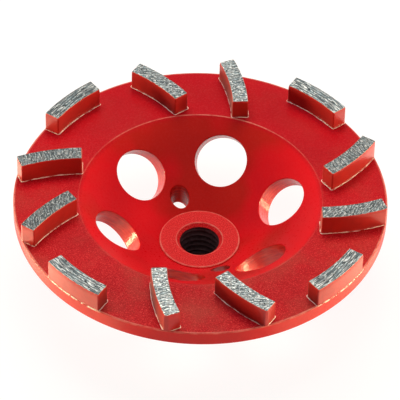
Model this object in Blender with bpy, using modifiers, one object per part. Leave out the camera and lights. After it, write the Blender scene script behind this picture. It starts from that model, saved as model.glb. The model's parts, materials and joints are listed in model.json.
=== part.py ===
"""Diamond cup wheel for an angle grinder, 125 mm across.

A steel cup with a flat flange carries twelve curved diamond segments. A threaded hub in the middle of
the cup screws onto the grinder's spindle. The wheel stands on the hub's back face with its segments up:
the origin is the centre of that face, and +Z runs along the wheel's axis.
"""

import math

import bpy
from mathutils import Matrix, Vector

MM = 0.001

# Rim and flange
WHEEL_RADIUS = 62.5 * MM
FLANGE_THICKNESS = 5.4 * MM
RIM_EDGE_ROUND = 0.4 * MM
RIM_BACK_ROUND = 0.7 * MM

# Cup: a cone from the flange's mouth down to the hub
MOUTH_RADIUS = 40.8 * MM
MOUTH_EDGE_ROUND = 0.6 * MM
CUP_SLOPE = math.radians(36.3)
WALL_AT_MOUTH = 4.4 * MM
WALL_AT_HUB = 7.0 * MM
SHOULDER_FILLET = 5.0 * MM
FOOT_FILLET = 1.5 * MM
SEAT_MARGIN = 3.0 * MM

# Large holes, drilled square to the cup's wall
HOLE_COUNT = 6
HOLE_RADIUS = 8.95 * MM
HOLE_CIRCLE_RADIUS = 28.4 * MM
FIRST_HOLE_ANGLE = math.radians(76.3)

# Spanner pin holes, drilled along the wheel's axis
PIN_HOLE_COUNT = 2
PIN_HOLE_RADIUS = 3.25 * MM
PIN_CIRCLE_RADIUS = 18.5 * MM
FIRST_PIN_ANGLE = math.radians(112.7)

# Hub: a bush with a collar behind the cup
HUB_LENGTH = 15.0 * MM
HUB_FACE_DEPTH = 19.4 * MM
SPIGOT_RADIUS = 13.65 * MM
COLLAR_RADIUS = 14.5 * MM
BORE_RADIUS = 6.7 * MM
BORE_CHAMFER = 1.15 * MM
SPIGOT_EDGE_ROUND = 0.45 * MM
COLLAR_CHAMFER = 0.9 * MM

# Segments: one bar of diamond matrix, bent to the wheel's own curve
SEGMENT_LENGTH = 21.6 * MM
SEGMENT_WIDTH = 5.3 * MM
SEGMENT_HEIGHT = 7.1 * MM
SEGMENT_RIM_INSET = 0.2 * MM
SEGMENT_EDGE_ROUND = 0.35 * MM
# Each kind in the repeating pattern: its angle clockwise from the first segment of its group, how far
# its middle lies inside that of a segment along the rim, and how far its back turns from facing the rim.
PATTERN = (
    (math.radians(0.0), 0.0 * MM, math.radians(0.0)),
    (math.radians(32.3), 7.4 * MM, math.radians(57.7)),
    (math.radians(61.3), 7.6 * MM, math.radians(64.1)),
)
PATTERN_REPEATS = 4
FIRST_SEGMENT_ANGLE = math.radians(138.7)

# Touching pieces keep this much between their faces
SEAT_GAP = 0.3 * MM

# Facets
TURN_STEPS = 96
HUB_STEPS = 64
HOLE_STEPS = 48
PIN_HOLE_STEPS = 24
FILLET_STEPS = 3
SEGMENT_STEPS = 10
SHARP_ANGLE = math.radians(28)

# Worked out from the sizes above
FLANGE_Z = HUB_LENGTH + HUB_FACE_DEPTH
FLANGE_BACK_Z = FLANGE_Z - FLANGE_THICKNESS
HUB_BORE_RADIUS = SPIGOT_RADIUS + SEAT_GAP
SEAT_RADIUS = COLLAR_RADIUS + SEAT_MARGIN
SEGMENT_BEND_RADIUS = WHEEL_RADIUS - SEGMENT_RIM_INSET - SEGMENT_WIDTH / 2

# (base colour, metallic, roughness)
RED_PAINT = ((0.52, 0.012, 0.014, 1.0), 0.0, 0.32)
HUB_PAINT = ((0.56, 0.030, 0.030, 1.0), 0.0, 0.40)
SEGMENT_PAINT = ((0.52, 0.014, 0.014, 1.0), 0.0, 0.30)
GROUND_MATRIX = ((0.24, 0.26, 0.25, 1.0), 0.55, 0.60)


def cup_height(radius):
    """The height of the cup's inner face at a radius."""
    return FLANGE_Z - (MOUTH_RADIUS - radius) * math.tan(CUP_SLOPE)


def behind_wall(radius, thickness):
    """The point this far behind the cup's inner face, square to it, as (radius, height)."""
    return Vector((
        radius + thickness * math.sin(CUP_SLOPE),
        cup_height(radius) - thickness * math.cos(CUP_SLOPE),
    ))


def rounded(corners):
    """A closed outline through (radius, height, fillet) corners, each fillet as an arc."""
    outline = []
    for i, (x, z, fillet) in enumerate(corners):
        corner = Vector((x, z))
        to_last = Vector(corners[i - 1][:2]) - corner
        to_next = Vector(corners[(i + 1) % len(corners)][:2]) - corner
        if fillet <= 0:
            outline.append(corner)
            continue
        half = to_last.angle(to_next) / 2
        longest = min(to_last.length, to_next.length) / 2
        radius = min(fillet, longest * math.tan(half))
        start = corner + to_last.normalized() * radius / math.tan(half)
        end = corner + to_next.normalized() * radius / math.tan(half)
        bisector = (to_last.normalized() + to_next.normalized()).normalized()
        centre = corner + bisector * radius / math.sin(half)
        first = math.atan2(start.y - centre.y, start.x - centre.x)
        last = math.atan2(end.y - centre.y, end.x - centre.x)
        swing = (last - first + math.pi) % (2 * math.pi) - math.pi
        for step in range(FILLET_STEPS + 1):
            angle = first + swing * step / FILLET_STEPS
            outline.append(centre + radius * Vector((math.cos(angle), math.sin(angle))))
    return outline


def clear_scene():
    for obj in list(bpy.data.objects):
        bpy.data.objects.remove(obj, do_unlink=True)


def new_collection(name):
    collection = bpy.data.collections.new(name)
    bpy.context.scene.collection.children.link(collection)
    return collection


def paint(name, look):
    colour, metallic, roughness = look
    material = bpy.data.materials.new(name)
    material.use_nodes = True
    shader = material.node_tree.nodes["Principled BSDF"]
    shader.inputs["Base Color"].default_value = colour
    shader.inputs["Metallic"].default_value = metallic
    shader.inputs["Roughness"].default_value = roughness
    material.diffuse_color = colour
    return material


def turned(name, corners, steps, collection):
    """A ring turned from a closed outline that runs down its outer side."""
    outline = rounded(corners)
    count = len(outline)
    mesh = bpy.data.meshes.new(name)
    mesh.from_pydata(
        [(point.x, 0.0, point.y) for point in outline],
        [(i, (i + 1) % count) for i in range(count)],
        [],
    )
    obj = bpy.data.objects.new(name, mesh)
    collection.objects.link(obj)
    screw = obj.modifiers.new("Turn", "SCREW")
    screw.axis = "Z"
    screw.angle = 2 * math.pi
    screw.steps = steps
    screw.render_steps = steps
    screw.use_merge_vertices = True
    screw.merge_threshold = 0.00001
    return obj


def drill(name, radius, depth, steps, matrix, cutters):
    """A cylinder to cut with, its axis along the matrix's Z and its middle at the matrix's place."""
    bpy.ops.mesh.primitive_cylinder_add(vertices=steps, radius=radius, depth=depth)
    cutter = bpy.context.active_object
    cutter.name = name
    for owner in list(cutter.users_collection):
        owner.objects.unlink(cutter)
    cutters.objects.link(cutter)
    cutter.matrix_world = matrix
    cutter.hide_render = True
    cutter.display_type = "WIRE"
    return cutter


def settle(obj):
    """Keeps the shape that the modifiers make, and shades it smooth between its sharp edges."""
    bpy.context.view_layer.update()
    graph = bpy.context.evaluated_depsgraph_get()
    mesh = bpy.data.meshes.new_from_object(obj.evaluated_get(graph))
    mesh.name = obj.name
    obj.modifiers.clear()
    obj.data = mesh
    mesh.shade_smooth()
    mesh.set_sharp_from_angle(angle=SHARP_ANGLE)


def make_cup_cutters(cutters):
    """The large holes lean with the wall that they go through, and the pin holes stand upright."""
    through = 4 * max(WALL_AT_MOUTH, WALL_AT_HUB)
    for i in range(HOLE_COUNT):
        angle = FIRST_HOLE_ANGLE + 2 * math.pi * i / HOLE_COUNT
        place = (
            Matrix.Rotation(angle, 4, "Z")
            @ Matrix.Translation((HOLE_CIRCLE_RADIUS, 0, cup_height(HOLE_CIRCLE_RADIUS)))
            @ Matrix.Rotation(-CUP_SLOPE, 4, "Y")
        )
        drill(f"large_hole_cutter_{i + 1}", HOLE_RADIUS, through, HOLE_STEPS, place, cutters)
    for i in range(PIN_HOLE_COUNT):
        angle = FIRST_PIN_ANGLE + 2 * math.pi * i / PIN_HOLE_COUNT
        place = Matrix.Rotation(angle, 4, "Z") @ Matrix.Translation(
            (PIN_CIRCLE_RADIUS, 0, cup_height(PIN_CIRCLE_RADIUS))
        )
        drill(f"pin_hole_cutter_{i + 1}", PIN_HOLE_RADIUS, through, PIN_HOLE_STEPS, place, cutters)


def cup_back():
    """Where the wall's back meets the flange's back plane, and where it meets the hub's seat."""
    top = behind_wall(MOUTH_RADIUS, WALL_AT_MOUTH)
    foot = behind_wall(HUB_BORE_RADIUS, WALL_AT_HUB)
    slope = (top.y - foot.y) / (top.x - foot.x)
    shoulder_radius = top.x - (top.y - FLANGE_BACK_Z) / slope
    seat_z = top.y - (top.x - SEAT_RADIUS) * slope
    return shoulder_radius, seat_z


def make_cup_body(collection, cutters):
    shoulder_radius, seat_z = cup_back()
    body = turned(
        "cup_body",
        [
            (WHEEL_RADIUS, FLANGE_Z, RIM_EDGE_ROUND),
            (WHEEL_RADIUS, FLANGE_BACK_Z, RIM_BACK_ROUND),
            (shoulder_radius, FLANGE_BACK_Z, SHOULDER_FILLET),
            (SEAT_RADIUS, seat_z, FOOT_FILLET),
            (HUB_BORE_RADIUS, seat_z, 0.0),
            (HUB_BORE_RADIUS, cup_height(HUB_BORE_RADIUS), 0.0),
            (MOUTH_RADIUS, FLANGE_Z, MOUTH_EDGE_ROUND),
        ],
        TURN_STEPS,
        collection,
    )
    make_cup_cutters(cutters)
    cut = body.modifiers.new("Holes", "BOOLEAN")
    cut.operation = "DIFFERENCE"
    cut.solver = "EXACT"
    cut.operand_type = "COLLECTION"
    cut.collection = cutters
    settle(body)
    body.data.materials.append(paint("red_powder_coat", RED_PAINT))


def make_threaded_hub(collection):
    """The bush: its spigot fills the cup's middle, and its collar bears on the cup's back."""
    _, seat_z = cup_back()
    hub = turned(
        "threaded_hub",
        [
            (SPIGOT_RADIUS, HUB_LENGTH, SPIGOT_EDGE_ROUND),
            (SPIGOT_RADIUS, seat_z - SEAT_GAP, 0.0),
            (COLLAR_RADIUS, seat_z - SEAT_GAP, 0.0),
            (COLLAR_RADIUS, COLLAR_CHAMFER, 0.0),
            (COLLAR_RADIUS - COLLAR_CHAMFER, 0.0, 0.0),
            (BORE_RADIUS + BORE_CHAMFER, 0.0, 0.0),
            (BORE_RADIUS, BORE_CHAMFER, 0.0),
            (BORE_RADIUS, HUB_LENGTH - BORE_CHAMFER, 0.0),
            (BORE_RADIUS + BORE_CHAMFER, HUB_LENGTH, 0.0),
        ],
        HUB_STEPS,
        collection,
    )
    settle(hub)
    hub.data.materials.append(paint("red_hub_paint", HUB_PAINT))


def bent_bar_outline():
    """The segment seen from above: its middle at the origin, its back arching towards +X."""
    half_angle = SEGMENT_LENGTH / SEGMENT_BEND_RADIUS / 2
    angles = [half_angle * (2 * i / SEGMENT_STEPS - 1) for i in range(SEGMENT_STEPS + 1)]
    outer = SEGMENT_BEND_RADIUS + SEGMENT_WIDTH / 2
    inner = SEGMENT_BEND_RADIUS - SEGMENT_WIDTH / 2
    back = [(outer * math.cos(a) - SEGMENT_BEND_RADIUS, outer * math.sin(a)) for a in angles]
    front = [(inner * math.cos(a) - SEGMENT_BEND_RADIUS, inner * math.sin(a)) for a in reversed(angles)]
    return back + front


def make_segment_mesh():
    """One bar, standing on its seat, with rounded upright edges and a crisp ground top."""
    outline = bent_bar_outline()
    height = SEGMENT_HEIGHT - SEAT_GAP
    curve = bpy.data.curves.new("segment_outline", "CURVE")
    curve.dimensions = "2D"
    curve.fill_mode = "BOTH"
    curve.extrude = height / 2
    spline = curve.splines.new("POLY")
    spline.points.add(len(outline) - 1)
    for point, (x, y) in zip(spline.points, outline):
        point.co = (x, y, 0.0, 1.0)
    spline.use_cyclic_u = True
    holder = bpy.data.objects.new("segment_outline", curve)
    bpy.context.scene.collection.objects.link(holder)
    weld = holder.modifiers.new("Weld", "WELD")
    weld.merge_threshold = 0.00001
    bevel = holder.modifiers.new("Edges", "BEVEL")
    bevel.width = SEGMENT_EDGE_ROUND
    bevel.segments = 2
    bevel.limit_method = "ANGLE"
    bevel.angle_limit = math.radians(40)
    bpy.context.view_layer.update()
    graph = bpy.context.evaluated_depsgraph_get()
    mesh = bpy.data.meshes.new_from_object(holder.evaluated_get(graph))
    mesh.name = "segment"
    bpy.data.objects.remove(holder, do_unlink=True)
    mesh.transform(Matrix.Translation((0, 0, SEAT_GAP + height / 2)))
    return mesh


def paint_segment(mesh):
    """Painted sides, and a bare top where the paint is ground away."""
    mesh.materials.append(paint("red_segment_paint", SEGMENT_PAINT))
    mesh.materials.append(paint("ground_diamond_matrix", GROUND_MATRIX))
    for face in mesh.polygons:
        face.material_index = 1 if face.normal.z > 0.9 else 0
    mesh.shade_smooth()
    mesh.set_sharp_from_angle(angle=SHARP_ANGLE)


def make_segments(collection):
    mesh = make_segment_mesh()
    paint_segment(mesh)
    for group in range(PATTERN_REPEATS):
        for i, (along, inset, turn) in enumerate(PATTERN):
            number = group * len(PATTERN) + i + 1
            place = FIRST_SEGMENT_ANGLE - 2 * math.pi * group / PATTERN_REPEATS - along
            radius = SEGMENT_BEND_RADIUS - inset
            segment = bpy.data.objects.new(f"segment_{number:02d}", mesh)
            segment.location = (radius * math.cos(place), radius * math.sin(place), FLANGE_Z)
            segment.rotation_euler = (0, 0, place - turn)
            collection.objects.link(segment)


def main():
    clear_scene()
    wheel = new_collection("diamond_cup_wheel")
    cutters = new_collection("cutters")
    make_cup_body(wheel, cutters)
    make_threaded_hub(wheel)
    make_segments(wheel)


main()
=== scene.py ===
"""Diamond cup wheel: its fine surfaces, its materials, and a plain pale studio."""

import json
import math

import bpy
import numpy as np
from mathutils import Matrix, Vector

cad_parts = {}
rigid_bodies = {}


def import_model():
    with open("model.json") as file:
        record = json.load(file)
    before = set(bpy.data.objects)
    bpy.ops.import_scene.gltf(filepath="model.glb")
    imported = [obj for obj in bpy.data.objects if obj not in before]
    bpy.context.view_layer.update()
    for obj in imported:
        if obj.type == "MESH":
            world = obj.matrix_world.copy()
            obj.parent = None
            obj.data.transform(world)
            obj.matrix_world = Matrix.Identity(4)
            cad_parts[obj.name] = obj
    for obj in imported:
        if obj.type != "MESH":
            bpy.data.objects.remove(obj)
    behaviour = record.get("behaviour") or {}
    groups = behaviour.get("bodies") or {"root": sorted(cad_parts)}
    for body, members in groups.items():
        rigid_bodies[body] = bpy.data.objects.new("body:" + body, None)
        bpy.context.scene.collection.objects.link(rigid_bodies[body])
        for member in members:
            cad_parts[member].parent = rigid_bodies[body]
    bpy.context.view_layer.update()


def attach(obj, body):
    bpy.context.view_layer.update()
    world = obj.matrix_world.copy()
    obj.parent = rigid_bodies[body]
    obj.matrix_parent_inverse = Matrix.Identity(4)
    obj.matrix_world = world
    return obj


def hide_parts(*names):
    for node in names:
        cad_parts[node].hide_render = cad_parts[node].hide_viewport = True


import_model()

# Sizes in millimetres, the same as the solids'
WHEEL_RADIUS = 62.5
FLANGE_Z = 34.4
FLANGE_BACK_Z = 29.0
MOUTH_RADIUS = 40.8
CUP_SLOPE = math.radians(36.3)
WALL_AT_MOUTH = 4.4
WALL_AT_HUB = 7.0
HOLE_RADIUS = 8.95
HOLE_CIRCLE_RADIUS = 28.4
FIRST_HOLE_ANGLE = math.radians(76.3)
PIN_HOLE_RADIUS = 3.25
PIN_CIRCLE_RADIUS = 18.5
FIRST_PIN_ANGLE = math.radians(112.7)
HUB_LENGTH = 15.0
SPIGOT_RADIUS = 13.65
COLLAR_RADIUS = 14.5
SEAT_RADIUS = 17.5
HUB_BORE_RADIUS = 13.95
COATED_BORE_RADIUS = 13.62
THREAD_MINOR = 6.7
THREAD_DEPTH = 1.22
THREAD_PITCH = 2.309
BORE_CHAMFER_RADIUS = 7.85
BORE_CHAMFER = 1.15
COLLAR_CHAMFER = 0.9
SEAT_GAP = 0.3
SEGMENT_LENGTH = 21.6
SEGMENT_WIDTH = 5.3
SEGMENT_TOP_Z = 41.5
SEGMENT_BEND_RADIUS = 59.65
PATTERN = (
    (math.radians(0.0), 0.0, math.radians(0.0)),
    (math.radians(32.3), 7.4, math.radians(57.7)),
    (math.radians(61.3), 7.6, math.radians(64.1)),
)
FIRST_SEGMENT_ANGLE = math.radians(138.7)

# Finer than the solids, in millimetres: roundings, the drills' reach, the thread's run-out and chips
HOLE_EDGE = 0.35
PIN_EDGE = 0.25
DRILL_REACH = 14.0
THREAD_LEAD = 0.9
SEGMENT_EDGE = 0.16
SEGMENT_CORNER = 0.36
CHIP_DEPTH = 0.30
CHIP_REACH = 0.22

# How finely the shapes are cut; a segment's grid in millimetres: beside its edge, along it, across it
TURN_STEPS = 384
HOLE_STEPS = 96
PIN_HOLE_STEPS = 64
THREAD_STEPS = 128
THREAD_ROWS_PER_PITCH = 20
EDGE_GRID = (0.0, 0.1, 0.2, 0.3, 0.42)
LONG_STEP = 0.16
CROSS_STEP = 0.14

# For each segment, how far its grinding marks lean, and how pale its ground top is painted: a painted
# sheen, in place of the light its marks catch
GRAIN_TILT = [math.radians(a) for a in (0, 20, -20, 4, -18, 22, -3, 20, -24, 2, 16, -20)]
TOP_SHEEN_TONES = (0.30, 0.36, 0.42, 0.42, 0.28, 0.30, 0.38, 0.44, 0.52, 0.38, 0.22, 0.25)


def cup_height(radius):
    return FLANGE_Z - (MOUTH_RADIUS - radius) * math.tan(CUP_SLOPE)


BACK_TOP = (
    MOUTH_RADIUS + WALL_AT_MOUTH * math.sin(CUP_SLOPE),
    FLANGE_Z - WALL_AT_MOUTH * math.cos(CUP_SLOPE),
)
BACK_FOOT = (
    HUB_BORE_RADIUS + WALL_AT_HUB * math.sin(CUP_SLOPE),
    cup_height(HUB_BORE_RADIUS) - WALL_AT_HUB * math.cos(CUP_SLOPE),
)
BACK_SLOPE = (BACK_TOP[1] - BACK_FOOT[1]) / (BACK_TOP[0] - BACK_FOOT[0])


def back_height(radius):
    return BACK_TOP[1] - (BACK_TOP[0] - radius) * BACK_SLOPE


SEAT_Z = back_height(SEAT_RADIUS)
SHOULDER_RADIUS = BACK_TOP[0] - (BACK_TOP[1] - FLANGE_BACK_Z) / BACK_SLOPE


# Seeded smooth noise, for the shapes


class Lattice:
    """Smooth noise from -1 to 1 over a plane, repeating only after 256 cells."""

    def __init__(self, seed):
        self.table = np.random.default_rng(seed).uniform(-1, 1, (256, 256))

    def __call__(self, x, y):
        x, y = np.asarray(x, float), np.asarray(y, float)
        ix, iy = np.floor(x).astype(int), np.floor(y).astype(int)
        fx, fy = x - ix, y - iy
        fx, fy = fx * fx * (3 - 2 * fx), fy * fy * (3 - 2 * fy)
        a = self.table[ix % 256, iy % 256]
        b = self.table[(ix + 1) % 256, iy % 256]
        c = self.table[ix % 256, (iy + 1) % 256]
        d = self.table[(ix + 1) % 256, (iy + 1) % 256]
        return (a * (1 - fx) + b * fx) * (1 - fy) + (c * (1 - fx) + d * fx) * fy


def ramp(value, low, high):
    t = np.clip((value - low) / (high - low), 0, 1)
    return t * t * (3 - 2 * t)


# Turned shapes


def turned_outline(corners, longest):
    """Points and normals along a closed outline of (radius, height, fillet) corners."""
    points, normals = [], []
    count = len(corners)
    spans = []
    for i, (x, z, fillet) in enumerate(corners):
        corner = np.array((x, z))
        back = np.array(corners[i - 1][:2]) - corner
        ahead = np.array(corners[(i + 1) % count][:2]) - corner
        back_dir, ahead_dir = back / np.linalg.norm(back), ahead / np.linalg.norm(ahead)
        half = math.acos(np.clip(back_dir @ ahead_dir, -1, 1)) / 2
        cut = fillet / math.tan(half)
        start, end = corner + back_dir * cut, corner + ahead_dir * cut
        bisector = (back_dir + ahead_dir) / np.linalg.norm(back_dir + ahead_dir)
        centre = corner + bisector * fillet / math.sin(half)
        spans.append((start, end, centre, fillet, -back_dir, ahead_dir))
    for i, (start, end, centre, fillet, dir_in, dir_out) in enumerate(spans):
        n_in, n_out = np.array((-dir_in[1], dir_in[0])), np.array((-dir_out[1], dir_out[0]))
        turn = math.acos(np.clip(n_in @ n_out, -1, 1))
        steps = max(2, math.ceil(turn / math.radians(15)))
        first = math.atan2(start[1] - centre[1], start[0] - centre[0])
        last = math.atan2(end[1] - centre[1], end[0] - centre[0])
        swing = (last - first + math.pi) % (2 * math.pi) - math.pi
        for k in range(steps + 1):
            angle = first + swing * k / steps
            point = centre + fillet * np.array((math.cos(angle), math.sin(angle)))
            normal = n_in * (1 - k / steps) + n_out * (k / steps)
            points.append(point)
            normals.append(normal / np.linalg.norm(normal))
        next_start = spans[(i + 1) % count][0]
        length = np.linalg.norm(next_start - end)
        pieces = max(1, math.ceil(length / longest))
        for k in range(1, pieces):
            points.append(end + (next_start - end) * k / pieces)
            normals.append(n_out)
    return np.array(points), np.array(normals)


def ring_faces(steps, count):
    """Quads of a grid that closes on itself both round the axis and along its outline."""
    i, j = np.meshgrid(np.arange(steps), np.arange(count), indexing="ij")
    i2, j2 = (i + 1) % steps, (j + 1) % count
    quads = np.stack([i * count + j, i * count + j2, i2 * count + j2, i2 * count + j], axis=-1)
    return quads.reshape(-1, 4)


def new_mesh_object(name, vertices_mm, faces):
    mesh = bpy.data.meshes.new(name)
    mesh.from_pydata((np.asarray(vertices_mm) / 1000).tolist(), [], [list(map(int, f)) for f in faces])
    mesh.update()
    obj = bpy.data.objects.new(name, mesh)
    bpy.context.scene.collection.objects.link(obj)
    return obj


def turned_vertices(points, steps):
    angles = 2 * math.pi * np.arange(steps) / steps
    r, z = points[:, 0][None, :], points[:, 1][None, :]
    c, s = np.cos(angles)[:, None], np.sin(angles)[:, None]
    return np.stack([c * r, s * r, np.broadcast_to(z, (steps, len(points)))], axis=-1).reshape(-1, 3)


# The cup


def hole_frames():
    """Each hole's origin on the inner face, axis, up-slope and across ways, radius and rounding."""
    frames = []
    across = Vector((0, 1, 0))
    for k in range(6):
        turn = Matrix.Rotation(FIRST_HOLE_ANGLE + k * math.pi / 3, 3, "Z")
        origin = turn @ Vector((HOLE_CIRCLE_RADIUS, 0, cup_height(HOLE_CIRCLE_RADIUS)))
        axis = turn @ Vector((-math.sin(CUP_SLOPE), 0, math.cos(CUP_SLOPE)))
        up = turn @ Vector((math.cos(CUP_SLOPE), 0, math.sin(CUP_SLOPE)))
        frames.append((origin, axis, up, turn @ across, HOLE_RADIUS, HOLE_EDGE))
    for k in range(2):
        turn = Matrix.Rotation(FIRST_PIN_ANGLE + k * math.pi, 3, "Z")
        origin = turn @ Vector((PIN_CIRCLE_RADIUS, 0, cup_height(PIN_CIRCLE_RADIUS)))
        axis, up = Vector((0, 0, 1)), turn @ Vector((1, 0, 0))
        frames.append((origin, axis, up, turn @ across, PIN_HOLE_RADIUS, PIN_EDGE))
    return frames


def below_seat(radius):
    """The cup's back face: the cone, and the flat seat round the hub."""
    return max(back_height(radius), SEAT_Z)


def meet(origin, axis, side, radius, height_at):
    """How far along the axis a line of the hole's wall meets a face of the cup."""
    low, high = -DRILL_REACH, DRILL_REACH
    base = origin + side * radius
    for _ in range(40):
        middle = (low + high) / 2
        point = base + axis * middle
        if point.z > height_at(math.hypot(point.x, point.y)):
            high = middle
        else:
            low = middle
    return (low + high) / 2


def hole_cutter(name, origin, axis, up, across, radius, edge, steps):
    """A drill whose ends flare, so that it leaves each edge of the hole rounded."""
    bezier = [0.0, 0.25, 0.5, 0.75, 1.0]
    rings = []
    for k in range(steps):
        angle = 2 * math.pi * k / steps
        side = up * math.cos(angle) + across * math.sin(angle)
        ring = []
        top_wide = meet(origin, axis, side, radius + edge, cup_height)
        top = meet(origin, axis, side, radius, cup_height)
        low_wide = meet(origin, axis, side, radius + edge, below_seat)
        low = meet(origin, axis, side, radius, below_seat)
        ring.append((radius + edge, top_wide + 2.0))
        for t in bezier:
            ring.append((
                radius + edge * (1 - t) ** 2,
                (1 - t) ** 2 * top_wide + 2 * t * (1 - t) * top + t * t * (top - edge),
            ))
        for share in (0.25, 0.5, 0.75):
            ring.append((radius, (top - edge) * (1 - share) + (low + edge) * share))
        for t in reversed(bezier):
            ring.append((
                radius + edge * (1 - t) ** 2,
                (1 - t) ** 2 * low_wide + 2 * t * (1 - t) * low + t * t * (low + edge),
            ))
        ring.append((radius + edge, low_wide - 2.0))
        rings.append([origin + side * r + axis * s for r, s in ring])
    count = len(rings[0])
    vertices = [tuple(p) for ring in rings for p in ring]
    faces = []
    for i in range(steps):
        n = (i + 1) % steps
        for j in range(count - 1):
            faces.append((i * count + j, i * count + j + 1, n * count + j + 1, n * count + j))
    faces.append(tuple(i * count for i in range(steps)))
    faces.append(tuple(i * count + count - 1 for i in reversed(range(steps))))
    return new_mesh_object(name, vertices, faces)


CUP_CORNERS = [
    (WHEEL_RADIUS, FLANGE_Z, 0.4),
    (WHEEL_RADIUS, FLANGE_BACK_Z, 0.7),
    (SHOULDER_RADIUS, FLANGE_BACK_Z, 5.0),
    (SEAT_RADIUS, SEAT_Z, 1.5),
    (COATED_BORE_RADIUS, SEAT_Z, 0.05),
    (COATED_BORE_RADIUS, cup_height(COATED_BORE_RADIUS), 0.12),
    (MOUTH_RADIUS, FLANGE_Z, 0.5),
]


def surface_normals(positions, points, normals):
    """The turned outline's normal at the place nearest to each position."""
    r, z = np.hypot(positions[:, 0], positions[:, 1]), positions[:, 2]
    a, b = points, np.roll(points, -1, axis=0)
    na, nb = normals, np.roll(normals, -1, axis=0)
    d = b - a
    length2 = np.maximum((d ** 2).sum(1), 1e-12)
    out = np.empty((len(positions), 3))
    chunk = 20000
    for start in range(0, len(positions), chunk):
        part = slice(start, start + chunk)
        px, pz = r[part][:, None] - a[None, :, 0], z[part][:, None] - a[None, :, 1]
        t = np.clip((px * d[:, 0] + pz * d[:, 1]) / length2, 0, 1)
        off = (px - t * d[:, 0]) ** 2 + (pz - t * d[:, 1]) ** 2
        best = off.argmin(1)
        tb = t[np.arange(len(best)), best][:, None]
        n2 = na[best] * (1 - tb) + nb[best] * tb
        n2 /= np.linalg.norm(n2, axis=1)[:, None]
        rr = np.maximum(r[part], 1e-9)
        out[part, 0] = n2[:, 0] * positions[part, 0] / rr
        out[part, 1] = n2[:, 0] * positions[part, 1] / rr
        out[part, 2] = n2[:, 1]
    return out


def make_cup():
    points, normals = turned_outline(CUP_CORNERS, 1.2)
    faces = ring_faces(TURN_STEPS, len(points))
    cup = new_mesh_object("cup_skin", turned_vertices(points, TURN_STEPS), faces)
    cutters = bpy.data.collections.new("drills")
    for k, (origin, axis, up, across, radius, edge) in enumerate(hole_frames()):
        steps = HOLE_STEPS if radius == HOLE_RADIUS else PIN_HOLE_STEPS
        cutter = hole_cutter(f"drill_{k + 1}", origin, axis, up, across, radius, edge, steps)
        bpy.context.scene.collection.objects.unlink(cutter)
        cutters.objects.link(cutter)
    bpy.context.scene.collection.children.link(cutters)
    cut = cup.modifiers.new("Holes", "BOOLEAN")
    cut.operation = "DIFFERENCE"
    cut.solver = "EXACT"
    cut.operand_type = "COLLECTION"
    cut.collection = cutters
    bpy.context.view_layer.update()
    graph = bpy.context.evaluated_depsgraph_get()
    mesh = bpy.data.meshes.new_from_object(cup.evaluated_get(graph))
    cup.modifiers.clear()
    cup.data = mesh
    for cutter in list(cutters.objects):
        bpy.data.objects.remove(cutter, do_unlink=True)
    bpy.data.collections.remove(cutters)

    co = np.empty(len(mesh.vertices) * 3)
    mesh.vertices.foreach_get("co", co)
    co = co.reshape(-1, 3) * 1000
    smooth = surface_normals(co, points, normals)
    drill, wall_share = np.zeros((len(co), 3)), np.zeros(len(co))
    for origin, axis, up, across, radius, edge in hole_frames():
        rel = co - np.array(origin)
        along = rel @ np.array(axis)
        side = rel - along[:, None] * np.array(axis)
        dist = np.linalg.norm(side, axis=1)
        inside = (dist < radius + edge - 1e-4) & (np.abs(along) < DRILL_REACH)
        t = 1 - np.sqrt(np.clip((dist[inside] - radius) / edge, 0, 1))
        wall = -side[inside] / dist[inside][:, None]
        mixed = smooth[inside] * (1 - t)[:, None] + wall * t[:, None]
        smooth[inside] = mixed / np.linalg.norm(mixed, axis=1)[:, None]
        # Drawn together around the wall, so that noise over it runs round the hole as a drill's marks do
        round_wall = 0.1 * side[inside]
        places = (round_wall @ np.array(up), round_wall @ np.array(across), along[inside])
        drill[inside] = np.stack(places, axis=1) + np.array(origin)
        wall_share[inside] = t
    attribute = mesh.attributes.new("drill", "FLOAT_VECTOR", "POINT")
    attribute.data.foreach_set("vector", drill.astype(np.float32).reshape(-1))
    reach = np.hypot(co[:, 0], co[:, 1])
    index = []
    for face in mesh.polygons:
        on_wall = min(wall_share[v] for v in face.vertices) > 0.5
        on_rim = min(reach[v] for v in face.vertices) > WHEEL_RADIUS - 0.25
        index.append(1 if on_wall else 2 if on_rim else 0)
    mesh.polygons.foreach_set("material_index", index)
    mesh.shade_smooth()
    mesh.normals_split_custom_set_from_vertices(smooth.tolist())
    return cup


# The hub and its thread


def thread_radius(angle, z):
    """A 60 degree right-hand internal thread, with flats at its crests and roots."""
    phase = (z / THREAD_PITCH - angle / (2 * math.pi)) % 1.0
    away = np.abs(phase - 0.5) * THREAD_PITCH
    root_half = THREAD_PITCH / 16
    flank = THREAD_DEPTH * math.tan(math.radians(30))
    return THREAD_MINOR + THREAD_DEPTH * (1 - np.clip((away - root_half) / flank, 0, 1))


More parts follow.
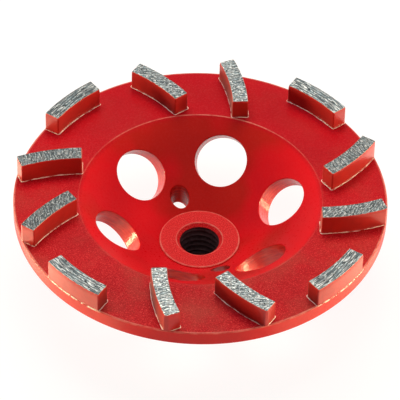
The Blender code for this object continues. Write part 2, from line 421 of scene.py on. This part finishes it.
def make_hub():
    """One skin: outside, both faces, both chamfers and the thread between them."""
    seat = SEAT_Z - SEAT_GAP
    bore_low, bore_high = BORE_CHAMFER, HUB_LENGTH - BORE_CHAMFER
    outside = turned_outline(
        [
            (SPIGOT_RADIUS, HUB_LENGTH, 0.45),
            (SPIGOT_RADIUS, seat, 0.05),
            (COLLAR_RADIUS, seat, 0.3),
            (COLLAR_RADIUS, COLLAR_CHAMFER, 0.2),
            (COLLAR_RADIUS - COLLAR_CHAMFER, 0.0, 0.2),
            (BORE_CHAMFER_RADIUS, 0.0, 0.15),
            (THREAD_MINOR, bore_low, 0.02),
            (THREAD_MINOR, bore_high, 0.02),
            (BORE_CHAMFER_RADIUS, HUB_LENGTH, 0.18),
        ],
        0.8,
    )[0]
    off_middle = np.abs(outside[:, 1] - HUB_LENGTH / 2)
    in_bore = (outside[:, 0] < THREAD_MINOR + 0.05) & (off_middle < HUB_LENGTH / 2 - 1.0)
    first, last = np.flatnonzero(in_bore)[[0, -1]]
    rows = round((bore_high - bore_low) / THREAD_PITCH * THREAD_ROWS_PER_PITCH)
    heights = np.linspace(bore_low, bore_high, rows + 1)
    angles = 2 * math.pi * np.arange(THREAD_STEPS) / THREAD_STEPS
    vertices = []
    for angle in angles:
        c, s = math.cos(angle), math.sin(angle)
        radius = thread_radius(angle, heights)
        near_end = np.minimum(heights - bore_low, bore_high - heights)
        lead = np.clip(near_end / THREAD_LEAD, 0, 1)
        radius = THREAD_MINOR + (radius - THREAD_MINOR) * lead
        thread = np.stack([radius, heights], axis=1)
        chain = np.concatenate([outside[:first], thread, outside[last + 1:]])
        vertices.append(np.stack([chain[:, 0] * c, chain[:, 0] * s, chain[:, 1]], axis=1))
    count = len(vertices[0])
    hub = new_mesh_object("hub_skin", np.concatenate(vertices), ring_faces(THREAD_STEPS, count))
    mesh = hub.data
    index = np.zeros(len(mesh.polygons), np.int32)
    row = np.arange(len(mesh.polygons)) % count
    index[(row >= first) & (row < first + rows)] = 1
    mesh.polygons.foreach_set("material_index", index)
    mesh.shade_smooth()
    mesh.set_sharp_from_angle(angle=math.radians(24))
    return hub


# Segments


def segment_places():
    for group in range(4):
        for kind, (along, inset, turn) in enumerate(PATTERN):
            place = FIRST_SEGMENT_ANGLE - math.pi / 2 * group - along
            yield group * 3 + kind + 1, kind, SEGMENT_BEND_RADIUS - inset, place, place - turn


def spaced(half, fine, coarse_step):
    """Grid lines from -half to half, closer together near both ends."""
    middle = half - fine[-1]
    inner = np.linspace(-middle, middle, max(2, math.ceil(2 * middle / coarse_step)) + 1)
    low = -half + np.array(fine[:-1])
    return np.concatenate([low, inner, -low[::-1]])


def bridge(below, above):
    """Quads between two closed loops with as many points."""
    count = len(below)
    return [(below[k], below[(k + 1) % count], above[(k + 1) % count], above[k]) for k in range(count)]


def make_segment(number, kind, radius, place, heading):
    """A pressed and sintered bar, ground on top, in a fillet of braze on the flange."""
    wave, chips, streaks, pits = (Lattice(1000 * number + k) for k in range(4))
    half_l, half_w = SEGMENT_LENGTH / 2, SEGMENT_WIDTH / 2
    edge, corner = SEGMENT_EDGE, SEGMENT_CORNER
    height = SEGMENT_TOP_Z - FLANGE_Z
    s, w = spaced(half_l, EDGE_GRID, LONG_STEP), spaced(half_w, EDGE_GRID, CROSS_STEP)
    ns, nw = len(s), len(w)
    border = (
        [(i, 0) for i in range(ns - 1)]
        + [(ns - 1, j) for j in range(nw - 1)]
        + [(i, nw - 1) for i in range(ns - 1, 0, -1)]
        + [(0, j) for j in range(nw - 1, 0, -1)]
    )
    border_s = np.array([s[i] for i, _ in border])
    border_w = np.array([w[j] for _, j in border])

    def outward(ps, pw):
        """The nearest point of the plan drawn in by the corner's radius, and the way out from it."""
        qs = np.clip(ps, -half_l + corner, half_l - corner)
        qw = np.clip(pw, -half_w + corner, half_w - corner)
        ds, dw = ps - qs, pw - qw
        size = np.maximum(np.hypot(ds, dw), 1e-9)
        return qs, qw, ds / size, dw / size

    qs, qw, ds, dw = outward(border_s, border_w)

    def loop(offset, at):
        return np.stack([qs + ds * (corner + offset), qw + dw * (corner + offset), at], axis=1)

    run = np.arange(len(border)) * LONG_STEP
    uneven = 0.018 * wave(run / 3.1, 0.3 + 0 * run)
    chipped_run = ramp(chips(run / 2.6, 9.5 + 0 * run), -0.2, 0.6)
    chip = CHIP_DEPTH * (ramp(chips(run / 0.55, 0.5 + 0 * run), 0.35, 0.95) * chipped_run)
    braze_h = 0.42 + 0.16 * wave(run / 2.2, 5.5 + 0 * run) + 0.05 * wave(run / 0.7, 8.5 + 0 * run)
    braze_w = 0.36 + 0.16 * wave(run / 2.6, 15.5 + 0 * run) + 0.06 * wave(run / 0.8, 18.5 + 0 * run)
    loops = []
    for t in np.linspace(0, 1, 6):
        loops.append(loop(braze_w * (1 - t) ** 2 + uneven + 0.06, braze_h * t * t))
    for share in (0.15, 0.3, 0.45, 0.6, 0.72, 0.82, 0.9, 0.955):
        h = braze_h + (height - edge - braze_h) * share
        bulge = 0.02 * wave(run / 4.0, 20 + h / 2.5) + 0.06 - 0.11 * ramp(h, height - 1.3, height - edge)
        loops.append(loop(uneven + bulge - 0.25 * chip * ramp(h, height - 0.9, height), h))
    for turn in (0.0, 30.0, 60.0):
        a = math.radians(turn)
        inward = 0.09 + edge * (1 - math.cos(a)) + 0.6 * chip
        at = height - edge + edge * math.sin(a) - chip * (0.3 + 0.5 * math.sin(a))
        loops.append(loop(uneven - inward, at))
    side_count = len(border)
    side = np.concatenate(loops)

    gs, gw = np.meshgrid(s, w, indexing="ij")
    tqs, tqw, tds, tdw = outward(gs, gw)
    reach = np.minimum(np.hypot(gs - tqs, gw - tqw), corner)
    from_edge = np.minimum(half_l - np.abs(gs), half_w - np.abs(gw))
    drawn_in = np.maximum(reach - edge * ramp(reach, 0, corner), 0)
    top_s, top_w = tqs + tds * drawn_in, tqw + tdw * drawn_in
    plain = reach < 1e-6
    top_s, top_w = np.where(plain, gs, top_s), np.where(plain, gw, top_w)
    at_edge = np.zeros((ns, nw))
    for k, (i, j) in enumerate(border):
        at_edge[i, j] = chip[k]
    drop = 0.8 * np.maximum.reduce([
        np.outer(at_edge[:, 0], np.exp(-(w + half_w) / CHIP_REACH)),
        np.outer(at_edge[:, -1], np.exp(-(half_w - w) / CHIP_REACH)),
        np.outer(np.exp(-(s + half_l) / CHIP_REACH), at_edge[0]),
        np.outer(np.exp(-(half_l - s) / CHIP_REACH), at_edge[-1]),
    ])

    def bend(ps, pw):
        angle = ps / SEGMENT_BEND_RADIUS
        x = (SEGMENT_BEND_RADIUS + pw) * np.cos(angle) - SEGMENT_BEND_RADIUS
        y = (SEGMENT_BEND_RADIUS + pw) * np.sin(angle)
        c, n = math.cos(heading), math.sin(heading)
        return radius * math.cos(place) + c * x - n * y, radius * math.sin(place) + n * x + c * y

    def grain(x, y):
        """Coordinates along and across the grinding marks, which run nearly round the wheel's axis."""
        tilt = GRAIN_TILT[number - 1]
        r = np.hypot(x, y) - radius
        t = ((np.arctan2(y, x) - place + math.pi) % (2 * math.pi) - math.pi) * radius
        return t * math.cos(tilt) + r * math.sin(tilt), r * math.cos(tilt) - t * math.sin(tilt)

    top_x, top_y = bend(top_s, top_w)
    along, across = grain(top_x, top_y)
    marks = 0.022 * streaks(across / 0.26, along / 5.0)
    marks += 0.014 * streaks(40 + across / 0.13, along / 3.0)
    marks -= 0.05 * ramp(pits(across / 0.5, along / 0.9), 0.72, 0.95)
    inner = ramp(from_edge, 0.0, 0.25)
    top_z = (height - 0.045 + marks - drop) * inner + (height - 0.05 - drop) * (1 - inner)
    top_z = np.minimum(top_z, height)

    side_x, side_y = bend(side[:, 0], side[:, 1])
    reach_out = np.hypot(side_x, side_y)
    tuck = np.minimum(1, (WHEEL_RADIUS - 0.12 - 0.3 * (side[:, 2] < 0.05)) / reach_out)
    side_x, side_y = side_x * tuck, side_y * tuck
    side_v = np.stack([side_x, side_y, FLANGE_Z + side[:, 2]], axis=1)
    top_v = np.stack([top_x, top_y, FLANGE_Z + top_z], axis=-1).reshape(-1, 3)
    vertices = np.concatenate([side_v, top_v])

    top_base = len(loops) * side_count
    rings = [range(row * side_count, (row + 1) * side_count) for row in range(len(loops))]
    rings.append([top_base + i * nw + j for i, j in border])
    faces = []
    for below, above in zip(rings, rings[1:]):
        faces += bridge(below, above)
    side_faces = len(faces)
    for i in range(ns - 1):
        for j in range(nw - 1):
            here = top_base + i * nw + j
            faces.append((here, here + nw, here + nw + 1, here + 1))
    top_faces = len(faces)
    faces.append(tuple(reversed(range(side_count))))
    obj = new_mesh_object(f"segment_skin_{number:02d}", vertices, faces)
    mesh = obj.data
    all_along, all_across = grain(vertices[:, 0], vertices[:, 1])
    attribute = mesh.attributes.new("grain", "FLOAT_VECTOR", "POINT")
    data = np.stack([all_along * (1.4 if kind else 0.45), all_across, vertices[:, 2] - FLANGE_Z], axis=1)
    attribute.data.foreach_set("vector", data.astype(np.float32).reshape(-1))
    # Each segment's painted sheen tone for its ground top.
    attribute = mesh.attributes.new("sheen_tone", "FLOAT", "POINT")
    attribute.data.foreach_set("value", np.full(len(vertices), TOP_SHEEN_TONES[number - 1], np.float32))
    index = np.zeros(len(mesh.polygons), np.int32)
    index[side_faces:top_faces] = 1
    mesh.polygons.foreach_set("material_index", index)
    mesh.shade_smooth()
    mesh.set_sharp_from_angle(angle=math.radians(38))
    return obj


# Materials

MM = 0.001
RIM_LEDGE = (62.15, FLANGE_Z)

DARK_PIT = (0.24, 0.002, 0.007, 1)
# The next colour is dust with a painted sheen over it.
DUST_AND_SHEEN = (0.42, 0.085, 0.06, 1)
# The next colour is a painted edge highlight.
EDGE_HIGHLIGHT = (0.86, 0.34, 0.28, 1)
# The next colour is a painted glint.
GLINT_WHITE = (0.97, 0.90, 0.86, 1)


class Nodes:
    """A material's node tree, with its Principled shader and short ways to add nodes."""

    def __init__(self, name):
        self.material = bpy.data.materials.new(name)
        self.material.use_nodes = True
        self.tree = self.material.node_tree
        self.shader = self.tree.nodes["Principled BSDF"]

    def add(self, kind, values=None, **settings):
        node = self.tree.nodes.new(kind)
        for key, value in settings.items():
            setattr(node, key, value)
        return self.feed(node, values or {})

    def feed(self, node, values):
        for key, value in values.items():
            if isinstance(value, bpy.types.NodeSocket):
                self.tree.links.new(value, node.inputs[key])
            else:
                node.inputs[key].default_value = value
        return node

    def link(self, socket, name):
        self.tree.links.new(socket, self.shader.inputs[name])

    def uniform(self, name, value):
        self.shader.inputs[name].default_value = value

    def object_place(self):
        return self.add("ShaderNodeTexCoord").outputs["Object"]

    def attribute(self, name, output="Vector"):
        node = self.add("ShaderNodeAttribute", attribute_name=name, attribute_type="GEOMETRY")
        return node.outputs[output]

    def part_of(self, vector, name):
        return self.add("ShaderNodeSeparateXYZ", {0: vector}).outputs[name]

    def vector_math(self, operation, values):
        return self.add("ShaderNodeVectorMath", values, operation=operation).outputs

    def scaled(self, vector, factors):
        return self.vector_math("MULTIPLY", {0: vector, 1: factors})["Vector"]

    def length(self, vector):
        return self.vector_math("LENGTH", {0: vector})["Value"]

    def distance(self, vector, place_mm):
        place = tuple(MM * value for value in place_mm)
        return self.vector_math("DISTANCE", {0: vector, 1: place})["Value"]

    def noise(self, vector, scale, detail=2.0, roughness=0.5):
        values = {"Vector": vector, "Scale": scale, "Detail": detail, "Roughness": roughness}
        return self.add("ShaderNodeTexNoise", values).outputs["Fac"]

    def steps(self, value, low, high, to_low=0.0, to_high=1.0):
        values = {"Value": value, "From Min": low, "From Max": high, "To Min": to_low, "To Max": to_high}
        return self.add("ShaderNodeMapRange", values, clamp=True).outputs["Result"]

    def mix(self, factor, a, b):
        node = self.add("ShaderNodeMix", {0: factor, 6: a, 7: b}, data_type="RGBA")
        return node.outputs[2]

    def math(self, operation, a, b):
        return self.add("ShaderNodeMath", {0: a, 1: b}, operation=operation).outputs[0]

    def times(self, a, b):
        return self.math("MULTIPLY", a, b)

    def bump(self, height, strength, distance, normal=None):
        values = {"Height": height, "Strength": strength, "Distance": distance}
        if normal is not None:
            values["Normal"] = normal
        return self.add("ShaderNodeBump", values).outputs["Normal"]


def ring_line(n, where, at_mm, half_width_mm):
    """A mask along a turned edge at (radius, height): 1 on it and 0 beyond half the width."""
    radius, height = n.length(n.scaled(where, (1.0, 1.0, 0.0))), n.part_of(where, "Z")
    place = n.add("ShaderNodeCombineXYZ", {0: radius, 1: height}).outputs[0]
    away = n.distance(place, (*at_mm, 0.0))
    return n.steps(away, half_width_mm * MM, half_width_mm * 0.4 * MM)


def painted_rim_glint(n, where):
    """A mask beside the four segments that lie along the rim, where a glint on its edge is painted."""
    turn = n.math("ARCTAN2", n.part_of(where, "Y"), n.part_of(where, "X"))
    beside = n.math("COSINE", n.times(n.math("SUBTRACT", turn, FIRST_SEGMENT_ANGLE), 4.0), 0.0)
    broken = n.steps(n.noise(where, 500.0, 3.0, 0.6), 0.42, 0.50)
    return n.times(n.steps(beside, 0.70, 0.86), broken)


def textured(n, colour, fine, pale, most, grit_and_sheen):
    """Pale grains, which are painted glints of the orange peel, and dark pits over a colour, as strong
    as the weight given.
    """
    # The pale grains are painted glints.
    grains = n.times(n.steps(fine, 0.54, 0.66, 0.0, most), grit_and_sheen)
    pits = n.times(n.steps(fine, 0.48, 0.36, 0.0, 0.5), grit_and_sheen)
    return n.mix(pits, n.mix(grains, colour, pale), DARK_PIT)


def painted_edge_highlight(n, colour, where, line):
    """A colour with a painted highlight along a line, in uneven stretches."""
    breaks = n.steps(n.noise(where, 420.0, 3.0, 0.6), 0.38, 0.62, 0.45, 1.0)
    wane = n.steps(n.noise(where, 30.0), 0.36, 0.6, 0.35, 1.0)
    return n.mix(n.times(n.times(line, breaks), wane), colour, EDGE_HIGHLIGHT)


def orange_peel(n, peel, fine, peel_strength, fine_strength):
    """The powder coat's relief and its dull shine."""
    n.uniform("Specular IOR Level", 0.07)
    normal = n.bump(peel, peel_strength, 0.00006)
    n.link(n.bump(fine, fine_strength, 0.00007, normal), "Normal")


def cup_coat():
    """Red powder coat: grained and dusty on the flange, with a painted sheen and painted glints
    strongest on its front half, smooth in the cup with a painted shade on its back wall, and finer at
    the back; painted highlights run along the mouth and rim edges.
    """
    n = Nodes("red_powder_coat")
    where = n.object_place()
    level, height = n.scaled(where, (1.0, 1.0, 0.0)), n.part_of(where, "Z")
    peel, fine = n.noise(where, 1100.0, 2.0, 0.6), n.noise(where, 2800.0, 2.0, 0.6)
    # The front half (-Y) weighs 1 and the back 0.25: this places the painted sheen, the painted glints,
    # the dust and the relief.
    front = n.steps(n.part_of(where, "Y"), 0.035, -0.045, 0.25, 1.0)
    on_flange = n.steps(height, 0.0334, 0.0343, 0.18, 1.0)
    grit_and_sheen = n.times(on_flange, front)

    cloud = n.noise(where, 55.0, 3.0)
    colour = n.mix(n.steps(cloud, 0.35, 0.65), (0.51, 0.005, 0.014, 1), (0.55, 0.006, 0.016, 1))
    # Painted shade: the cup's red turns darker brown in patches, gathered on its back wall by a spot.
    painted_shade_spot = n.steps(n.distance(level, (-5.0, 22.0, 0.0)), 0.027, 0.013, 0.0, 0.14)
    thin = n.math("ADD", n.noise(where, 38.0), painted_shade_spot)
    in_cup = n.mix(n.steps(thin, 0.47, 0.64), (0.68, 0.008, 0.016, 1), (0.49, 0.014, 0.011, 1))
    colour = n.mix(n.steps(height, 0.0343, 0.0334), colour, in_cup)
    colour = textured(n, colour, fine, (0.86, 0.07, 0.075, 1), 0.7, grit_and_sheen)

    # Dust with a painted sheen: a greyish-brown cast over the front of the flange, thickest in a spot at
    # its front.
    painted_sheen_spot = n.steps(n.distance(level, (1.0, -48.0, 0.0)), 0.012, 0.003, 0.0, 0.10)
    dust_and_sheen = n.math("ADD", n.noise(where, 62.0, 4.0, 0.62), painted_sheen_spot)
    colour = n.mix(n.times(n.steps(dust_and_sheen, 0.46, 0.74, 0.0, 0.5), grit_and_sheen), colour, DUST_AND_SHEEN)

    # Painted highlights along the mouth's edge, weaker at the front, and along the rim's top edge.
    mouth = n.times(ring_line(n, where, (MOUTH_RADIUS, FLANGE_Z), 0.30), 0.7)
    mouth = n.times(mouth, n.steps(front, 0.25, 0.62, 1.0, 0.2))
    rim = n.times(ring_line(n, where, (62.2, FLANGE_Z), 0.45), 0.8)
    colour = painted_edge_highlight(n, colour, where, n.math("MAXIMUM", mouth, rim))
    # A painted glint on the rim's ledge, beside the rim segments.
    painted_glint = n.times(ring_line(n, where, RIM_LEDGE, 0.45), painted_rim_glint(n, where))
    n.link(n.mix(painted_glint, colour, GLINT_WHITE), "Base Color")

    smoother = n.steps(front, 0.25, 1.0, -0.10, 0.0)
    n.link(n.math("ADD", n.steps(peel, 0.3, 0.7, 0.29, 0.42), smoother), "Roughness")
    orange_peel(n, peel, fine, n.times(grit_and_sheen, 0.8), n.times(grit_and_sheen, 0.9))
    return n.material


def hub_coat():
    """The same coat over the turned hub, with painted highlights along its edges."""
    n = Nodes("red_hub_coat")
    where = n.object_place()
    peel, fine = n.noise(where, 1100.0, 2.0, 0.6), n.noise(where, 2800.0, 2.0, 0.6)
    colour = textured(n, (0.72, 0.020, 0.026, 1), fine, (0.92, 0.13, 0.12, 1), 0.6, 1.0)
    # Painted highlights along the ring face's outer edge and along the bore chamfer's edge.
    face_edge = ring_line(n, where, (13.45, HUB_LENGTH), 0.45)
    chamfer_edge = n.times(ring_line(n, where, (BORE_CHAMFER_RADIUS, 14.9), 0.3), 0.8)
    colour = painted_edge_highlight(n, colour, where, n.math("MAXIMUM", face_edge, chamfer_edge))
    n.link(colour, "Base Color")
    n.link(n.steps(peel, 0.3, 0.7, 0.31, 0.44), "Roughness")
    orange_peel(n, peel, fine, 0.8, 0.9)
    return n.material


def clear_coat(n, weight, rough, height, strength, distance):
    """A clear coat over a dull base, both with the same relief."""
    n.uniform("Specular IOR Level", 0.1)
    n.uniform("Coat Weight", weight)
    n.uniform("Coat Roughness", rough)
    normal = n.bump(height, strength, distance)
    n.link(normal, "Normal")
    n.link(normal, "Coat Normal")


def drilled_wall():
    """The coat in the holes, thin and glossy over the drill's marks."""
    n = Nodes("red_drilled_wall")
    marks = n.noise(n.attribute("drill"), 1.7, 4.0, 0.62)
    colour = n.mix(n.steps(marks, 0.36, 0.64), (0.46, 0.008, 0.008, 1), (0.66, 0.034, 0.014, 1))
    n.link(colour, "Base Color")
    n.link(n.steps(marks, 0.3, 0.7, 0.42, 0.30), "Roughness")
    clear_coat(n, 0.75, 0.12, marks, 0.8, 0.00022)
    n.uniform("Coat IOR", 1.6)
    return n.material


def rim_coat():
    """The coat on the turned rim, smoother than on the flange, with a painted highlight along its upper
    edge and a painted glint beside the rim segments.
    """
    n = Nodes("red_rim_coat")
    where = n.object_place()
    height = n.part_of(where, "Z")
    peel, cloud = n.noise(where, 1100.0, 2.0, 0.6), n.noise(where, 90.0, 3.0)
    colour = n.mix(n.steps(cloud, 0.35, 0.65), (0.50, 0.008, 0.008, 1), (0.58, 0.010, 0.009, 1))
    # A painted highlight along the rim's upper edge, broken by noise.
    uneven = n.steps(n.noise(where, 260.0, 3.0), 0.42, 0.58, 0.2, 0.7)
    colour = n.mix(n.times(n.steps(height, 0.0339, 0.0342), uneven), colour, (0.80, 0.22, 0.19, 1))
    # A painted glint beside the rim segments.
    painted_glint = n.times(n.steps(height, 0.0339, 0.03405), painted_rim_glint(n, where))
    n.link(n.mix(painted_glint, colour, GLINT_WHITE), "Base Color")
    n.link(n.steps(peel, 0.3, 0.7, 0.52, 0.64), "Roughness")
    clear_coat(n, 0.32, 0.22, peel, 0.5, 0.00004)
    return n.material


def ground_matrix():
    """Sintered metal, ground flat: streaks along the marks, dark pores and bright grains."""
    n = Nodes("ground_matrix")
    grain, sheen_tone = n.attribute("grain"), n.attribute("sheen_tone", "Fac")
    streak = n.noise(n.scaled(grain, (0.20, 1.9, 0.0)), 1.0, 3.0, 0.6)
    patch = n.noise(n.scaled(grain, (0.55, 2.0, 0.0)), 1.0, 3.0, 0.65)
    pores = n.noise(n.scaled(grain, (0.8, 1.3, 0.0)), 1.0, 3.0, 0.7)
    tint = n.noise(grain, 0.8, 1.0)
    middle = n.mix(n.steps(tint, 0.40, 0.60), (0.71, 0.82, 0.89, 1), (0.54, 0.82, 0.97, 1))
    colour = n.mix(n.steps(streak, 0.47, 0.53), (0.18, 0.26, 0.31, 1), middle)
    colour = n.mix(n.steps(patch, 0.54, 0.58), colour, (1.7, 1.98, 2.1, 1))
    colour = n.mix(n.steps(pores, 0.57, 0.61), colour, (0.05, 0.07, 0.08, 1))
    # Each top is scaled by its segment's painted sheen tone.
    n.link(n.vector_math("SCALE", {0: colour, "Scale": sheen_tone})["Vector"], "Base Color")
    n.uniform("Metallic", 0.25)
    n.uniform("Specular IOR Level", 0.2)
    n.link(n.steps(streak, 0.3, 0.7, 0.55, 0.42), "Roughness")
    n.link(n.bump(streak, 0.6, 0.00005), "Normal")
    return n.material


def segment_paint():
    """The coat on a segment's sides: a painted highlight near its ground edge, and a painted highlight
    line round its base.
    """
    n = Nodes("segment_paint")
    where = n.object_place()
    height = n.part_of(n.attribute("grain"), "Z")
    peel, cloud = n.noise(where, 1100.0, 2.0, 0.6), n.noise(where, 210.0, 4.0, 0.6)
    colour = n.mix(n.steps(cloud, 0.35, 0.65), (0.36, 0.006, 0.007, 1), (0.44, 0.007, 0.007, 1))
    ragged = n.noise(where, 1300.0, 3.0, 0.6)
    # A painted highlight on each side just under its ground edge; higher up, the bare ground top.
    worn_and_highlit = n.math("ADD", height, n.steps(ragged, 0.3, 0.7, -0.13, 0.13))
    colour = n.mix(n.steps(worn_and_highlit, 6.5, 6.8), colour, (0.56, 0.012, 0.013, 1))
    wavy = n.noise(where, 400.0, 3.0, 0.6)
    # A painted highlight line round the base of each side, on the braze.
    painted_foot_line = n.math("ADD", height, n.steps(wavy, 0.3, 0.7, -0.12, 0.12))
    colour = n.mix(n.steps(painted_foot_line, 0.10, 0.03), colour, (0.96, 0.74, 0.68, 1))
    n.link(n.mix(n.steps(worn_and_highlit, 6.98, 7.04), colour, (0.30, 0.31, 0.30, 1)), "Base Color")
    n.link(n.steps(peel, 0.3, 0.7, 0.55, 0.68), "Roughness")
    n.uniform("Sheen Weight", 0.4)
    n.uniform("Sheen Roughness", 0.35)
    n.uniform("Sheen Tint", (1.0, 0.8, 0.6, 1))
    clear_coat(n, 0.55, 0.3, peel, 0.5, 0.00004)
    return n.material


def thread_steel():
    """Bare, oiled steel, dark in the bore."""
    n = Nodes("thread_steel")
    cloud = n.noise(n.object_place(), 700.0, 3.0)
    colour = n.mix(n.steps(cloud, 0.35, 0.7), (0.06, 0.027, 0.03, 1), (0.12, 0.06, 0.066, 1))
    n.link(colour, "Base Color")
    n.uniform("Metallic", 0.3)
    n.uniform("Specular IOR Level", 0.1)
    n.link(n.steps(cloud, 0.3, 0.7, 0.48, 0.6), "Roughness")
    return n.material


def seen_as_white(tree):
    """1 for the rays that show the background: camera, glossy and transmission rays."""
    path = tree.nodes.new("ShaderNodeLightPath")
    most = path.outputs["Is Camera Ray"]
    for name in ("Is Glossy Ray", "Is Transmission Ray"):
        node = tree.nodes.new("ShaderNodeMath")
        node.operation = "MAXIMUM"
        tree.links.new(most, node.inputs[0])
        tree.links.new(path.outputs[name], node.inputs[1])
        most = node.outputs[0]
    return most


def floor_material():
    """A sheet that shows as white with the wheel's shadow, and with a painted shadow where the hub
    stands on it.
    """
    n = Nodes("pale_floor")
    n.tree.nodes.remove(n.shader)
    from_axis = n.length(n.add("ShaderNodeNewGeometry").outputs["Position"])
    # No glow within the hub's reach: a painted shadow under and round the hub.
    glow = n.steps(from_axis, 0.0135, 0.020, 0.0, 0.90)
    plain = n.add("ShaderNodeBsdfDiffuse", {"Color": (0.8, 0.8, 0.8, 1)})
    shadowed = n.add("ShaderNodeBsdfDiffuse", {"Color": (0.17, 0.17, 0.17, 1)})
    glowing = n.add("ShaderNodeEmission", {"Color": (1, 1, 1, 1), "Strength": glow})
    white = n.add("ShaderNodeAddShader", {0: shadowed.outputs[0], 1: glowing.outputs[0]})
    shaders = {0: seen_as_white(n.tree), 1: plain.outputs[0], 2: white.outputs[0]}
    mix = n.add("ShaderNodeMixShader", shaders)
    n.tree.links.new(mix.outputs[0], n.tree.nodes["Material Output"].inputs["Surface"])
    return n.material


# Studio


LAMP_DISTANCE = 700
LAMP_AIM_Z = 30
FLOOR_HALF = 3000
WHITE = (1.0, 1.0, 1.0)
LOW = (1.0, 0.90, 0.58)
TABLE = (1.0, 0.82, 0.45)

# Name, azimuth and elevation in degrees, size in millimetres, radiance, colour
LAMPS = (
    ("left_low", 180, 5, (250, 130), 51.0, (1.0, 0.94, 0.52)),
    ("right_low", 0, 5, (250, 130), 41.0, (1.0, 0.94, 0.50)),
    ("front_right_low", 330, 5, (250, 130), 14.0, (1.0, 0.60, 0.38)),
    ("back_high", 90, 62, (250, 250), 10.4, (1.0, 0.70, 0.50)),
    ("back_left_high", 135, 62, (250, 250), 5.8, WHITE),
    ("back_right_high", 45, 62, (250, 250), 3.4, (1.0, 0.79, 0.68)),
    ("overhead", 0, 85, (250, 250), 3.3, WHITE),
)
# Just over the floor, facing up, in place of its bounce: name, azimuth, distance, size, radiance, colour
TABLE_LAMPS = (
    ("table_left", 180, 170, (180, 130), 2.3, LOW),
    ("table_front_left", 209, 114, (90, 90), 2.2, TABLE),
    ("table_front", 270, 240, (120, 220), 4.6, TABLE),
    ("table_front_right", 331, 112, (94, 90), 1.6, TABLE),
    ("table_right", 0, 170, (180, 130), 1.2, LOW),
    ("table_back_right", 45, 170, (180, 130), 0.9, WHITE),
)


def make_camera():
    """Fitted to the photograph: the flange's rim, mouth, holes and segments all fall in place."""
    elevation, roll, distance = math.radians(44.133), math.radians(1.358), 1028.2
    focal_pixels, frame_pixels = 3078.9, 400
    target = Vector((0, 0, FLANGE_Z))
    eye = target + distance * Vector((0, -math.cos(elevation), math.sin(elevation)))
    up0 = Vector((0, math.sin(elevation), math.cos(elevation)))
    right = Vector((1, 0, 0)) * math.cos(roll) + up0 * math.sin(roll)
    up = -Vector((1, 0, 0)) * math.sin(roll) + up0 * math.cos(roll)
    back = right.cross(up)
    camera = bpy.data.cameras.new("camera")
    camera.sensor_width = 36.0
    camera.lens = focal_pixels / frame_pixels * camera.sensor_width
    camera.shift_x, camera.shift_y = -0.00125, -0.00645
    camera.clip_start, camera.clip_end = 0.05, 20
    obj = bpy.data.objects.new("camera", camera)
    matrix = Matrix((right, up, back)).transposed().to_4x4()
    matrix.translation = eye / 1000
    obj.matrix_world = matrix
    bpy.context.scene.collection.objects.link(obj)
    bpy.context.scene.camera = obj


def softbox(name, place, aim, size, radiance, colour):
    """A rectangular lamp of an even radiance."""
    light = bpy.data.lights.new(name, "AREA")
    light.shape = "RECTANGLE"
    light.size, light.size_y = size[0] / 1000, size[1] / 1000
    light.energy = radiance * math.pi * light.size * light.size_y
    light.color = colour
    obj = bpy.data.objects.new(name, light)
    obj.location = Vector(place) / 1000
    direction = Vector(aim) / 1000 - obj.location
    obj.rotation_euler = direction.to_track_quat("-Z", "Y").to_euler()
    obj.visible_camera = False
    bpy.context.scene.collection.objects.link(obj)
    return obj


def make_studio():
    scene = bpy.context.scene
    world = bpy.data.worlds.new("studio")
    scene.world = world
    world.use_nodes = True
    tree = world.node_tree
    background = tree.nodes["Background"]
    background.inputs["Color"].default_value = (1, 1, 1, 1)
    background.inputs["Strength"].default_value = 0.02
    white = tree.nodes.new("ShaderNodeBackground")
    white.inputs["Color"].default_value = (1, 1, 1, 1)
    white.inputs["Strength"].default_value = 1.0
    mix = tree.nodes.new("ShaderNodeMixShader")
    tree.links.new(seen_as_white(tree), mix.inputs[0])
    tree.links.new(background.outputs[0], mix.inputs[1])
    tree.links.new(white.outputs[0], mix.inputs[2])
    tree.links.new(mix.outputs[0], tree.nodes["World Output"].inputs[0])
    scene.view_settings.view_transform = "Standard"

    corners = [(x * FLOOR_HALF, y * FLOOR_HALF, 0) for x, y in ((-1, -1), (1, -1), (1, 1), (-1, 1))]
    floor = new_mesh_object("floor", corners, [(0, 1, 2, 3)])
    floor.data.materials.append(floor_material())

    for name, azimuth, elevation, size, radiance, colour in LAMPS:
        a, e = math.radians(azimuth), math.radians(elevation)
        way = Vector((math.cos(e) * math.cos(a), math.cos(e) * math.sin(a), math.sin(e)))
        aim = Vector((0, 0, LAMP_AIM_Z))
        softbox(name, aim + LAMP_DISTANCE * way, aim, size, radiance, colour)
    for name, azimuth, away, size, radiance, colour in TABLE_LAMPS:
        a = math.radians(azimuth)
        place = (away * math.cos(a), away * math.sin(a), 1)
        lamp = softbox(name, place, (0, 0, 0), size, radiance, colour)
        lamp.rotation_euler = (math.pi, 0, a)


def dress(obj, node, slot, *materials):
    for material in materials:
        obj.data.materials.append(material)
    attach(obj, "root")
    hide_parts(node)


def main():
    make_camera()
    make_studio()
    dress(make_cup(), "cup_body", "red_powder_coat", cup_coat(), drilled_wall(), rim_coat())
    dress(make_hub(), "threaded_hub", "red_hub_paint", hub_coat(), thread_steel())
    side, top = segment_paint(), ground_matrix()
    for number, kind, radius, place, heading in segment_places():
        segment = make_segment(number, kind, radius, place, heading)
        dress(segment, f"segment_{number:02d}", "ground_diamond_matrix", side, top)


main()
